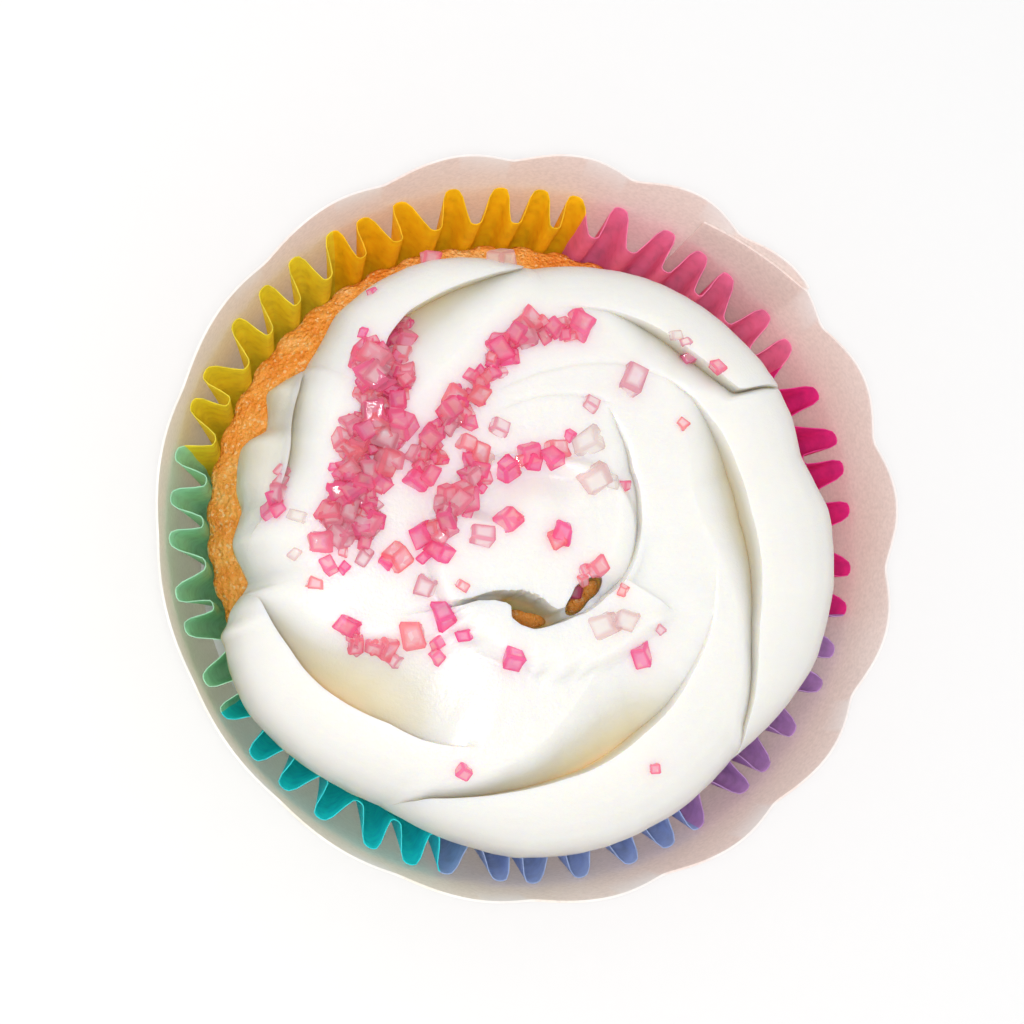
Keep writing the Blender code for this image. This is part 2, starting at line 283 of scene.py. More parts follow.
wrapper = {
    "scallops": 17, "stepsPerScallop": 20, "rings": 12, "card": 0.22,
    "footRadius": 27.4, "flare": 0.239, "crestHeight": 39.8, "scallopDepth": 2.3,
    "leans": 0.6, "oval": 0.12, "ovalAt": 40.0,
    "firstNotch": -5.2, "warp": 8.0, "warpAt": -250.0, "warpWidth": 65.0,
    "seamFrom": 41.0, "lap": 19.0, "lapLift": 0.35, "lapFade": 15.0, "tabInset": 0.6, "tabDrop": 2.6,
    "cutEdge": 0.25, "cutWhite": 0.6,
    "pinkCream": ((0.3, "f8eae4"), (0.7, "fcf2ee")), "paintedGreenBounce": "fcf7ee",
}


# height of the card's cut edge: round crests that meet in narrow notches, spaced a little unevenly
def scallopHeight(azimuth):
    clockwise = (-azimuth) % 360
    place = clockwise
    for _ in range(3):
        away = (place + wrapper["warpAt"]) / wrapper["warpWidth"]
        place = clockwise - wrapper["warp"] * math.exp(-away ** 2)
    phase = math.pi * wrapper["scallops"] * (place + wrapper["firstNotch"]) / 360
    crest = math.sqrt((math.sin(phase) ** 2 + 0.02) / 1.02)
    return wrapper["crestHeight"] - wrapper["scallopDepth"] * (1.0 - crest)


def makeWrapper():
    turn = 360 + wrapper["lap"]
    columns = round(turn / 360 * wrapper["scallops"] * wrapper["stepsPerScallop"])
    rings = wrapper["rings"]
    bpy.ops.mesh.primitive_grid_add(x_subdivisions=columns, y_subdivisions=rings, size=1)
    obj = bpy.context.object

    # the strip runs once round from its outer end, and its other end goes on inside as a tab
    def place(co):
        run = (co.x + 0.5) * turn
        up = (co.y + 0.5) * rings / (rings - 1)
        azimuth = wrapper["seamFrom"] + run
        top = scallopHeight(azimuth)
        if run > 360:
            drop = wrapper["tabDrop"] * (run - 360) / wrapper["lap"]
            top = wrapper["crestHeight"] - wrapper["tabInset"] - drop
        lift = wrapper["lapLift"] * (1.0 - smoothStep((run - wrapper["lap"]) / wrapper["lapFade"]))
        height = min(up * (top - wrapper["cutEdge"]), top) if up <= 1.001 else top
        up = min(up, 1.0)
        radius = wrapper["footRadius"] + wrapper["flare"] * height + lift
        radius += wrapper["oval"] * math.sin(math.radians(azimuth * 2 + wrapper["ovalAt"])) * up
        angle = math.radians(azimuth)
        lean = wrapper["leans"] * height / wrapper["crestHeight"]
        return ((radius * math.cos(angle) + lean) * mm, radius * mm * math.sin(angle), height * mm)

    shapeVertices(obj, place)
    thicken(obj, wrapper["card"] * mm)
    for vertex in obj.data.vertices:
        vertex.co.z = max(vertex.co.z, wrapperLow[2])

    def cut(co):
        top = scallopHeight(math.degrees(math.atan2(co.y, co.x)))
        return wrapper["cutWhite"] if co.z / mm > top - 0.6 * wrapper["cutEdge"] else 0.0

    markVertices(obj, "cutEdge", cut)
    return obj


# pearl-coated card: pale pink-cream with a faint fine sparkle, and a white core at the cut edge
def makeCardMaterial():
    material, add = newMaterial("pearlCoatedCard")
    spot = add("ShaderNodeTexCoord").outputs["Object"]
    # specks of 0.4 mm, the finest that show, and cloudy patches of 20 mm
    speck = add("ShaderNodeTexNoise", {"Vector": spot, "Scale": 2600.0, "Detail": 2.0})
    broad = add("ShaderNodeTexNoise", {"Vector": spot, "Scale": 45.0, "Detail": 3.0})
    ramp = add("ShaderNodeValToRGB", {"Fac": broad})
    pinkish = setStops(ramp, wrapper["pinkCream"])
    # painted reflection: round the side by the green and teal panels of the case, the card is painted a
    # greener cream for the light the case throws on it
    parts = add("ShaderNodeSeparateXYZ", {0: spot})
    across = add("ShaderNodeMath", {
        0: parts.outputs["Y"], 1: 0.6, 2: parts.outputs["X"]}, operation="MULTIPLY_ADD")
    side = add("ShaderNodeMapRange", {"Value": across, "From Min": -0.005, "From Max": -0.03})
    colour = add("ShaderNodeMix", {
        "Factor": side, 6: pinkish, 7: linearColour(wrapper["paintedGreenBounce"])}, data_type="RGBA")
    mottle = add("ShaderNodeMapRange", {
        "Value": speck, "From Min": 0.3, "From Max": 0.75, "To Min": 0.94, "To Max": 1.08})
    pearly = add("ShaderNodeHueSaturation", {"Color": colour.outputs[2], "Value": mottle})
    bump = add("ShaderNodeBump", {"Height": speck, "Strength": 0.2, "Distance": 0.00005})
    edge = add("ShaderNodeAttribute", attribute_name="cutEdge")
    core = add("ShaderNodeMix", {
        "Factor": edge.outputs["Fac"], 6: pearly, 7: linearColour("ffffff")}, data_type="RGBA")
    card = add("ShaderNodeBsdfPrincipled", {
        "Base Color": core.outputs[2], "Roughness": 0.42, "Normal": bump})
    glow = add("ShaderNodeBsdfTranslucent", {"Color": core.outputs[2]})
    mix = add("ShaderNodeMixShader", {"Fac": 0.4, 1: card, 2: glow})
    return finishMaterial(material, mix)


scallopedWrapper = finishPiece(
    makeWrapper(), "scallopedWrapper", makeCardMaterial(), "wrapper")


sponge = {
    "shoulder": 27.4, "crown": 35.2, "domePower": 0.78, "lean": 0.055,
    "clearance": 0.3, "intoPleats": 0.14, "pleatsAt": 0.8,
    "shrunk": 2.4, "shrunkAt": 262.0, "shrunkWidth": 62.0,
    "columns": 720, "floorRings": 4, "sideRings": 8, "rimRings": 36, "middleRings": 14,
    "rimWidth": 8.5, "rimRound": 1.5,
    "crumb": 0.24, "crumbSize": 0.55, "crumbHighest": 0.3, "sunk": 0.15,
    "baked": ((0.30, "e8862e"), (0.43, "f59c3c"), (0.55, "fcae52"), (0.72, "ffcc86")),
    "paintedGlint": "ffdca4",
}


# how far the cake has drawn in from its case on one side while it cooled
def spongeGap(azimuth):
    away = (azimuth - sponge["shrunkAt"] + 180) % 360 - 180
    return sponge["clearance"] + sponge["shrunk"] * math.exp(-(away / sponge["shrunkWidth"]) ** 4)


# height in mm of the baked crown at a place in mm
def spongeTop(x, y):
    reach = foldRadius(sponge["shoulder"]) - sponge["clearance"]
    inside = max(1.0 - (x * x + y * y) / (reach * reach), 0.0)
    dome = (sponge["crown"] - sponge["shoulder"]) * inside ** sponge["domePower"]
    return sponge["shoulder"] + dome + sponge["lean"] * x


def makeSponge():
    floorHeight = spongeLow[2] / mm
    reach = foldRadius(sponge["shoulder"]) - sponge["clearance"]
    floorReach = foldRadius(floorHeight) - sponge["clearance"]
    middle = reach - sponge["rimWidth"]
    floorRings, sideRings = sponge["floorRings"], sponge["sideRings"]
    rimRings, middleRings = sponge["rimRings"], sponge["middleRings"]
    rows = [("floor", floorReach * i / floorRings) for i in range(floorRings)]
    rows += [("side", i / sideRings) for i in range(sideRings)]
    rows += [("crown", reach - sponge["rimWidth"] * i / rimRings) for i in range(rimRings)]
    rows += [("crown", middle * (1 - i / middleRings)) for i in range(middleRings + 1)]
    bpy.ops.mesh.primitive_grid_add(
        x_subdivisions=sponge["columns"], y_subdivisions=len(rows) - 1, size=1)
    obj = bpy.context.object

    # the grid is wound round: its columns go round the cake, and its rows from the floor's middle over
    # the side to the crown's middle
    def place(co):
        angle = math.tau * (co.x + 0.5)
        kind, value = rows[round((co.y + 0.5) * (len(rows) - 1))]
        if kind == "floor":
            return (value * mm * math.cos(angle), value * mm * math.sin(angle), floorHeight * mm)
        turn = angle / math.tau * case["pleats"]
        out, _ = pleatRise(turn - math.floor(turn), math.degrees(angle), sponge["pleatsAt"])
        gap = spongeGap(math.degrees(angle)) - sponge["clearance"]
        if kind == "side":
            height = floorHeight + (sponge["shoulder"] - floorHeight) * value
            radius = foldRadius(height) - sponge["clearance"] - gap * smoothStep(value)
            height += sponge["lean"] * radius * math.cos(angle) * smoothStep(value)
            radius += sponge["intoPleats"] * out * smoothStep(value) * value
            return (radius * mm * math.cos(angle), radius * mm * math.sin(angle), height * mm)
        rim = smoothStep((value - reach + sponge["rimRound"]) / sponge["rimRound"])
        radius = value * (1 - gap / reach) + sponge["intoPleats"] * out * rim
        x, y = value * math.cos(angle), value * math.sin(angle)
        spot = Vector((x, y, 0.0)) / sponge["crumbSize"]
        crumb = noise.noise(spot) + 0.6 * noise.noise(spot * 2.3)
        coarse = noise.noise(spot * 0.3)
        rise = sponge["crumb"] * (0.75 * crumb + 0.5 * coarse) * float(smoothStep(reach - value))
        height = spongeTop(x, y) - sponge["sunk"] + min(rise, sponge["crumbHighest"])
        return (radius * math.cos(angle) * mm, radius * math.sin(angle) * mm, height * mm)

    shapeVertices(obj, place)
    cleanMesh(obj)
    return obj


# baked golden sponge crust: an open crumb that is sugary and glistens, with painted glints on some of
# its grains
def makeSpongeMaterial():
    material, add = newMaterial("bakedSpongeCrust")
    spot = add("ShaderNodeTexCoord").outputs["Object"]
    # browner patches of 4 mm, crumbs of 0.5 mm and grains of 0.3 mm; some grains are painted pale as
    # glints
    patches = add("ShaderNodeTexNoise", {
        "Vector": spot, "Scale": 260.0, "Detail": 5.0, "Roughness": 0.62})
    crumbs = add("ShaderNodeTexVoronoi", {
        "Vector": spot, "Scale": 1900.0, "Randomness": 1.0})
    fine = add("ShaderNodeTexNoise", {"Vector": spot, "Scale": 3200.0, "Detail": 3.0})
    specks = add("ShaderNodeTexVoronoi", {"Vector": spot, "Scale": 3600.0})
    grains = add("ShaderNodeSeparateXYZ", {0: specks.outputs["Color"]})
    # painted glint: the few grains whose random value is highest are painted pale
    paintedGlint = add("ShaderNodeMapRange", {
        "Value": grains.outputs["X"], "From Min": 0.86, "From Max": 0.96, "To Max": 0.6})
    ramp = add("ShaderNodeValToRGB", {"Fac": patches})
    baked = setStops(ramp, sponge["baked"])
    colour = add("ShaderNodeMix", {
        "Factor": paintedGlint, 6: baked, 7: linearColour(sponge["paintedGlint"])}, data_type="RGBA")
    height = add("ShaderNodeMath", {0: crumbs, 1: 0.6, 2: fine}, operation="MULTIPLY_ADD")
    bump = add("ShaderNodeBump", {"Height": height, "Strength": 0.9, "Distance": 0.0004})
    gloss = add("ShaderNodeMapRange", {
        "Value": fine, "From Min": 0.35, "From Max": 0.6, "To Min": 0.14, "To Max": 0.6})
    crust = add("ShaderNodeBsdfPrincipled", {
        "Base Color": colour.outputs[2], "Roughness": gloss, "IOR": 1.45, "Normal": bump,
        "Subsurface Weight": 0.25, "Subsurface Scale": 0.0008, "Subsurface Radius": (1.0, 0.45, 0.2)})
    return finishMaterial(material, crust)


spongeCake = finishPiece(makeSponge(), "spongeCake", makeSpongeMaterial(), "sponge")


# the swirl, piped in one turn by a six-toothed nozzle. Radii are from the swirl's centre.
swirl = {
    "centre": (0.8, -2.4), "columnTurn": 0.6, "firstAzimuth": 190,
    "middleRings": 46, "flankRings": 9, "bodyRings": 9, "wallRings": 20, "underRings": 5,
    "widestHeight": 36.2, "crownRise": 11.0, "crownPower": 8.0, "shoulderPower": 2.4,
    "usualOutline": 29.0, "edgeBlend": 6.0, "smoothOver": 24,
    "flankDepth": 1.2, "shoulderWidth": 1.4, "roll": 0.42, "steepen": 2.2, "cliffPower": 9,
    "creviceDepth": 0.15, "creviceWidth": 0.4, "leaveTurn": 2.0, "mergeTurn": 26.0,
    "pitFloor": 36.2, "pitReach": 14, "lowestDrop": 1.5,
    "footShare": 0.875, "aboveSponge": 0.35, "wallCurve": (0.8, 1.1),
    "ripple": 0.05, "rippleSize": 2.6, "bubble": 0.03, "bubbleSize": 0.7,
    "lump": 0.10, "lumpSize": 1.7,
    "pale": ((0.3, "dfdeda"), (0.7, "e2e1dd")),
    # painted shade and glow by depth below the crown: greyer and darker on the shallow flanks, warm
    # yellow deep in grooves and pits; place 1 is 12 mm
    "paintedShadeAndGlow": ((0.05, "d8d7d2"), (0.16, "d6d2c4"), (0.30, "e0d6b8"), (0.42, "fae8c0"), (0.60, "fff4c8"),
             (0.80, "ffeaac"), (1.0, "ffdc8c")),
}

# each strand: the outline while it is the newest (azimuth, radius), then the edge that it leaves across
# the swirl (azimuth, crest radius, width of the flank inside the crest, depth of the groove), and the
# azimuths between which a thin crevice runs along that edge. A shoulder is (azimuth, width, share of
# cliff), sunk is how much lower the icing lies outside the edge, and a lip is a second edge.
strands = (
    dict(start=190, ends=503, crevice=(425, 478),
        outline=((187, 28.1), (188, 28.0), (190, 29.0), (192.5, 30.3), (195, 30.9), (196.2, 31.9),
            (197.4, 31.5), (199.5, 31.7), (205, 32.0), (211, 32.0), (221, 31.0), (230, 30.0),
            (239, 29.1)),
        edge=((239, 29.2), (245, 27.0, 0.3, 1.4), (252, 25.6, 0.6, 2.0), (260, 24.2, 1.8, 2.7),
            (267, 23.2, 2.9, 3.1), (272.5, 22.5, 4.2, 3.5), (278, 22.0, 5.3, 3.8),
            (285, 21.2, 6.2, 3.9), (295, 20.0, 6.4, 3.2), (305, 19.2, 6.0, 1.8), (315, 18.2, 5.0, 0.7),
            (337, 16.8, 1.5, 0.1), (352, 15.8), (369, 14.6), (386, 14.1), (419, 14.5), (440, 14.0),
            (477, 13.2))),
    dict(start=239, ends=503, crevice=(402, 475),
        outline=((239, 29.1), (243, 29.1), (256, 29.5), (267, 30.0), (283, 29.9), (300, 29.2),
            (313, 28.3)),
        edge=((313, 28.6), (318, 26.0, 0.3, 1.1), (326.5, 23.8, 0.3, 1.4), (333, 22.3, 0.5, 1.6),
            (339, 21.3, 0.7, 1.7), (347.5, 20.6, 1.7, 2.2), (360, 19.8, 3.0, 2.8),
            (369, 19.3, 3.4, 2.9), (382, 19.2, 3.5, 2.7), (395, 19.4, 2.5, 1.6), (406, 19.6, 0.5, 0.4),
            (415, 19.3), (432, 18.0), (440, 17.2), (452, 16.2), (465, 15.4), (473, 15.2))),
    dict(start=313, ends=503, crevice=(394, 455),
        outline=((313, 28.3), (322, 28.9), (338, 30.2), (354, 30.4), (368, 30.2), (373, 29.3),
            (380, 28.5), (387, 29.3), (393, 29.7)),
        edge=((393, 30.4), (394, 29.2, 0.3, 1.0), (396, 27.5, 0.4, 1.6), (397.6, 25.5, 0.4, 1.8),
            (399, 23.9, 0.5, 1.8), (402.6, 23.5, 0.8, 1.8), (407, 23.2, 1.5, 2.0),
            (415, 23.0, 2.2, 2.2), (425, 23.1, 2.0, 1.8), (436, 23.0, 0.3, 0.3), (446, 22.6),
            (453, 22.3), (468, 19.9), (484, 19.7))),
    dict(start=393, ends=550, crevice=(452, 466),
        outline=((393, 29.7), (400, 29.9), (420, 29.7), (429, 29.4), (442, 28.5), (452, 27.7)),
        edge=((452, 28.4), (454, 27.2, 0.3, 0.9), (458, 26.7, 0.7, 1.3), (465, 26.2, 2.3, 2.2),
            (475, 25.9, 4.0, 3.0), (483, 25.7, 4.7, 3.2), (490, 24.8, 4.2, 2.6), (496, 23.4, 3.0, 1.6),
            (503, 22.4, 1.5, 0.5), (512, 22.0))),
    dict(start=452, ends=550, crevice=(503, 532), sunk=1.7,
        shoulder=((500, 3.0),),
        outline=((452, 27.7), (463, 29.4), (472, 30.3), (482, 30.4), (490, 30.1), (496, 29.0),
            (503, 28.3)),
        edge=((503, 28.8), (506, 28.4, 0.2, 1.6), (513, 27.5, 0.2, 2.4), (522, 26.3, 0.2, 2.2),
            (530, 25.9, 0.2, 1.4), (538, 26.6, 0.1, 0.6), (547, 27.6, 0.0, 0.3), (550, 28.3))),
    dict(start=503, ends=313, crevice=(190, 199),
        shoulder=((190, 2.0), (205, 2.6), (215, 3.5)),
        outline=((503, 28.3), (506, 29.2), (510, 30.1), (514, 28.8), (517, 28.4), (521, 30.1),
            (529, 29.5), (533, 28.5), (540, 29.4), (547, 28.1), (548, 28.0), (550, 29.0)),
        edge=((190, 28.6), (194, 28.2, 0.3, 1.4), (198, 27.8, 1.1, 2.4), (203, 27.2, 2.2, 3.1),
            (208, 26.8, 4.2, 3.8), (213, 26.2, 6.6, 4.2), (219, 25.2, 7.8, 4.1), (228, 23.6, 8.6, 3.0),
            (236, 22.9, 9.0, 1.6), (243, 22.0, 8.5, 0.4), (250, 21.0, 7.0), (260, 19.5, 3.0),
            (285, 13.5), (313, 13.0)),
        lip=dict(ends=503, crevice=(340, 430),
            shoulder=((190, 3.0), (208, 2.0, 0.5), (215, 0.6, 1.0), (218, 0.8, 1.0), (231, 0.9, 1.0),
                (235, 1.3, 1.0), (239, 2.4, 1.0), (246, 2.7, 1.0), (254.5, 2.6, 1.0), (262, 1.5, 1.0),
                (269, 0.7, 0.8), (281, 0.9, 0.3), (290, 2.0), (345, 2.0)),
            edge=((190, 28.6), (196, 24.0), (206, 17.0), (212, 13.0, 0.3, 0.3), (215, 11.4, 0.3, 1.2),
                (218, 9.7, 0.3, 2.2), (224, 8.5, 0.3, 3.0), (231, 7.9, 0.3, 4.0), (235, 7.9, 0.3, 6.0),
                (239, 8.8, 0.3, 9.8), (246, 9.0, 0.3, 10.0), (254.5, 8.9, 0.3, 10.0),
                (262, 8.35, 0.3, 9.4), (269, 7.95, 0.3, 6.5), (275, 7.7, 0.3, 3.2),
                (281, 7.45, 0.3, 1.5), (289, 7.4, 0.3, 1.0), (300, 7.2, 0.3, 1.0), (310, 7.0, 0.3, 1.4),
                (322, 7.2, 0.3, 1.6), (332, 7.4, 0.2, 1.2), (345, 7.6, 0.2, 1.0), (359, 7.9, 0.2, 1.0),
                (381, 8.8, 0.2, 0.9), (403, 10.2, 0.2, 0.8), (419, 12.3, 0.1, 0.4), (429, 13.9),
                (440, 14.0)))),
)

# the last of the icing: a low round mound in the middle, with a fold along its far side
mound = {
    "rim": ((-5, 7.9), (22, 8.1), (38, 8.1), (62, 7.9), (82, 7.5), (95, 7.9), (114, 8.4), (130, 9.4),
            (138, 9.7), (160, 11.5), (200, 12.5)),
    "rise": 1.0, "rimWidth": 1.0, "soften": 4,
    "foldDepth": 1.3, "foldWidth": 1.3, "innerWidening": 0.6,
    "fold": ((85, 5.6), (97, 6.0), (128, 6.9), (144, 7.5), (161, 8.2)),
    "foldFrom": 55, "foldDeepens": 45, "foldEnds": 172, "foldFades": 12,
}


# the swirl at an azimuth in the sector of strand number newest: its outline radius, and the edges
# inside it from the outside in
def swirlAt(newest, azimuth):
    outline = along(strands[newest]["outline"], azimuth, soften=0.5)
    middle = 0.5 * (strands[newest]["start"] + strands[newest]["outline"][-1][0])
    edges = []
    outer = outline
    for older in range(1, len(strands)):
        strand = strands[(newest - older) % len(strands)]
        for line in (strand, strand.get("lip")):
            if not line:
                continue
            leaves = line["edge"][0][0]
            wound = leaves + (middle - leaves) % 360 - middle
            here = azimuth + wound
            if middle + wound > line["ends"]:
                continue
            crest, flank, deep = (along(line["edge"], here, column, 0.5) for column in (1, 2, 3))
            fresh = float(smoothStep((here - leaves) / swirl["leaveTurn"]))
            crest = min(outer, outer + (crest - outer) * fresh)
            merge = float(smoothStep((here - line["ends"] + swirl["mergeTurn"]) / swirl["mergeTurn"]))
            crest += (outer - crest) * merge
            groove = crest - max(flank, 0.0) * (1 - merge) * fresh
            begins, stops = line["crevice"]
            thin = float(smoothStep((here - begins) / 8) * smoothStep((stops - here) / 12))
            shoulder = line.get("shoulder", ((0, swirl["shoulderWidth"]),))
            edges.append({
                "crest": crest, "groove": groove, "deep": deep * (1 - merge) * fresh,
                "crevice": swirl["creviceDepth"] * thin * (1 - merge),
                "shoulder": along(shoulder, here, 1), "cliff": along(shoulder, here, 2),
                "sunk": line.get("sunk", 0.0) * fresh * (1 - merge)})
            outer = groove
    return outline, edges


# how far one edge lowers the icing at each of these radii
def edgeDrop(radii, edge):
    start = edge["groove"] - edge["shoulder"]
    share = np.clip((radii - start) / max(edge["crest"] - start, 0.05), 0.0, 1.0)
    away = np.clip((edge["groove"] - radii) / edge["shoulder"], 0.0, 1.0)
    soft = swirl["roll"] * share + (1 - swirl["roll"]) * share ** swirl["steepen"]
    slope = (1 - edge["cliff"]) * soft + edge["cliff"] * (1.0 - away ** swirl["cliffPower"])
    flank = np.where(radii <= edge["crest"] + 0.01, slope, 0.0)
    crack = np.clip(1.0 - np.abs(radii - edge["crest"]) / swirl["creviceWidth"], 0.0, 1.0) ** 1.5
    lower = edge["sunk"] * smoothStep((radii - edge["crest"] + 0.2) / 0.8)
    return swirl["flankDepth"] * edge["deep"] * flank + edge["crevice"] * crack + lower


# how far the mound in the middle raises the icing at each of these radii
def moundRise(radii, azimuth):
    turned = (azimuth + 30) % 360 - 30
    rim = along(mound["rim"], turned, soften=mound["soften"])
    edge = (radii - rim + 0.5 * mound["rimWidth"]) / mound["rimWidth"]
    rise = mound["rise"] * (1.0 - smoothStep(edge))
    fold = along(mound["fold"], turned, soften=mound["soften"])
    begins = smoothStep((turned - mound["foldFrom"]) / mound["foldDeepens"])
    window = float(begins * smoothStep((mound["foldEnds"] - turned) / mound["foldFades"]))
    inner = (radii - fold) / mound["foldWidth"]
    inner = np.where(inner < 0, inner * mound["innerWidening"], inner)
    return rise - mound["foldDepth"] * window * np.exp(-inner ** 2)


# an azimuth in the turn that the strands' outlines are given in
def inFirstTurn(azimuth):
    return (azimuth - swirl["firstAzimuth"]) % 360 + swirl["firstAzimuth"]


def outlineNear(azimuth):
    turned = inFirstTurn(azimuth)
    for strand in strands:
        if strand["start"] <= turned <= strand["outline"][-1][0]:
            return along(strand["outline"], turned, soften=0.5)
    return swirl["usualOutline"]


smoothOutline = []
for azimuth in range(180, 560, 5):
    near = range(-swirl["smoothOver"], swirl["smoothOver"] + 1, 4)
    smoothOutline.append((azimuth, float(np.mean([outlineNear(azimuth + step) for step in near]))))


# height of the swirl without its grooves, at these distances from the centre
def swirlEnvelope(radii, azimuth, outline):
    smooth = along(smoothOutline, inFirstTurn(azimuth), soften=3)
    nearEdge = smoothStep((radii - outline + swirl["edgeBlend"]) / swirl["edgeBlend"])
    local = smooth + (outline - smooth) * nearEdge
    share = 1.0 - np.minimum(radii / local, 1.0) ** swirl["crownPower"]
    share = share ** (1.0 / swirl["shoulderPower"])
    return swirl["widestHeight"] + swirl["crownRise"] * share, share


# one column of the swirl's mesh, from the middle of its top over the rim to the middle of its underside
def swirlColumn(newest, azimuth):
    outline, edges = swirlAt(newest, azimuth)
    inner = edges[-1]["groove"] if edges else outline
    radii = [inner * i / swirl["middleRings"] for i in range(swirl["middleRings"] + 1)]
    outers = [outline] + [edge["groove"] for edge in edges[:-1]]
    flankRings, bodyRings = swirl["flankRings"], swirl["bodyRings"]
    for outer, edge in reversed(list(zip(outers, edges))):
        crest, groove = edge["crest"], edge["groove"]
        radii += [groove + (crest - groove) * i / flankRings for i in range(1, flankRings + 1)]
        shares = [0.5 - 0.5 * math.cos(math.pi * i / bodyRings) for i in range(1, bodyRings + 1)]
        radii += [crest + (outer - crest) * share for share in shares]
    radii = np.array(radii)
    crown, envelope = swirlEnvelope(radii, azimuth, outline)
    heights = crown + moundRise(radii, azimuth)
    cx, cy = swirl["centre"]
    angle = math.radians(azimuth)
    xs, ys = radii * math.cos(angle), radii * math.sin(angle)
    for edge in edges:
        heights = heights - edgeDrop(radii, edge)
    bottom = swirl["widestHeight"] - swirl["lowestDrop"] * (1 - envelope)
    heights = np.maximum(heights, np.where(radii < swirl["pitReach"], swirl["pitFloor"], bottom))
    points = [(cx + x, cy + y, h) for x, y, h in zip(xs, ys, heights)]
    # the wall rounds from the outline in to a foot on the cake
    foot = swirl["footShare"] * outline
    footTop = spongeTop(cx + foot * math.cos(angle), cy + foot * math.sin(angle))
    footHeight = footTop + swirl["aboveSponge"]
    edgeHeight = float(heights[-1])
    inward, downward = swirl["wallCurve"]
    for i in range(1, swirl["wallRings"]):
        share = i / swirl["wallRings"]
        radius = foot + (outline - foot) * math.cos(0.5 * math.pi * share) ** inward
        height = edgeHeight + (footHeight - edgeHeight) * math.sin(0.5 * math.pi * share) ** downward
        points.append((cx + radius * math.cos(angle), cy + radius * math.sin(angle), height))
    # ripples and burst bubbles on all that shows, and lumps along the rim
    rough = []
    for x, y, z in points:
        spot = Vector((x, y, z))
        wave = swirl["ripple"] * noise.noise(spot / swirl["rippleSize"])
        wave += swirl["bubble"] * noise.noise(spot / swirl["bubbleSize"])
        wide = swirl["lump"] * noise.noise(spot / swirl["lumpSize"] + Vector((7, 3, 1)))
        reach = math.hypot(x - cx, y - cy)
        nearRim = min(max((reach - 0.9 * outline) / (0.1 * outline), 0.0), 1.0)
        push = 1 + wide * nearRim / max(reach, 1.0)
        rough.append((cx + (x - cx) * push, cy + (y - cy) * push, z + wave))
    for i in range(swirl["underRings"] + 1):
        radius = foot * (1 - i / swirl["underRings"])
        x, y = cx + radius * math.cos(angle), cy + radius * math.sin(angle)
        rough.append((x, y, spongeTop(x, y) + swirl["aboveSponge"]))
    return rough


# two gaps go right through to the cake: middle is at the pit floor, size is the two widths, lean is the
# way the gap moves sideways for each mm up, rise is how far it is cut above the pit floor, and flare is
# how much wider it is there
pits = (
    dict(middle=(-0.8, -6.75), size=(4.4, 1.9), turn=-6, lean=(-0.22, -0.12), rise=7.0, flare=0.92),
    dict(middle=(5.2, -4.25), size=(3.8, 1.4), turn=48, lean=(-0.24, -0.09), rise=13.0, flare=1.35),
)
pitCut = {"depth": 5.0, "sides": 36, "uneven": 0.12}


def cutPits(obj):
    cx, cy = swirl["centre"]
    low = -pitCut["depth"]
    for pit in pits:
        bpy.ops.mesh.primitive_cylinder_add(vertices=pitCut["sides"], radius=0.5, depth=1)
        cutter = bpy.context.object
        turn = Matrix.Rotation(math.radians(pit["turn"]), 2)
        for vertex in cutter.data.vertices:
            share = vertex.co.z + 0.5
            flat = turn @ Vector((vertex.co.x * pit["size"][0], vertex.co.y * pit["size"][1]))
            flat *= 1 + pitCut["uneven"] * math.sin(3 * math.atan2(flat.y, flat.x) + 1)
            up = low + (pit["rise"] - low) * share
            flat *= 1 + (pit["flare"] - 1) * share
            vertex.co = Vector((
                cx + pit["middle"][0] + flat.x + pit["lean"][0] * up,
                cy + pit["middle"][1] + flat.y + pit["lean"][1] * up,
                swirl["pitFloor"] + up)) * mm
        bpy.context.view_layer.objects.active = obj
        cut = obj.modifiers.new("pit", "BOOLEAN")
        cut.object = cutter
        cut.operation = "DIFFERENCE"
        cut.solver = "EXACT"
        bpy.ops.object.modifier_apply(modifier=cut.name)
        bpy.data.objects.remove(cutter)


def depthBelowCrown(co):
    cx, cy = swirl["centre"]
    x, y = co.x / mm - cx, co.y / mm - cy
    azimuth = math.degrees(math.atan2(y, x))
    outline = outlineNear(azimuth)
    crown, _ = swirlEnvelope(np.array([min(math.hypot(x, y), outline)]), azimuth, outline)
    return float(crown[0]) - co.z / mm


# two neighbouring sectors step along their shared line unequally: a strip of thin triangles joins them
def makeSeam(left, right):
    runs = []
    for column in (left, right):
        steps = [math.dist(a, b) for a, b in zip(column, column[1:])]
        runs.append([sum(steps[:i]) / sum(steps) for i in range(len(column))])
    i, j, faces = 0, 0, []
    while i < len(left) - 1 or j < len(right) - 1:
        if j == len(right) - 1 or (i < len(left) - 1 and runs[0][i + 1] <= runs[1][j + 1]):
            faces.append((i, len(left) + j, i + 1))
            i += 1
        else:
            faces.append((i, len(left) + j, len(left) + j + 1))
            j += 1
    mesh = bpy.data.meshes.new("seam")
    mesh.from_pydata([[v * mm for v in point] for point in list(left) + list(right)], [], faces)
    seam = bpy.data.objects.new("seam", mesh)
    bpy.context.collection.objects.link(seam)
    return seam


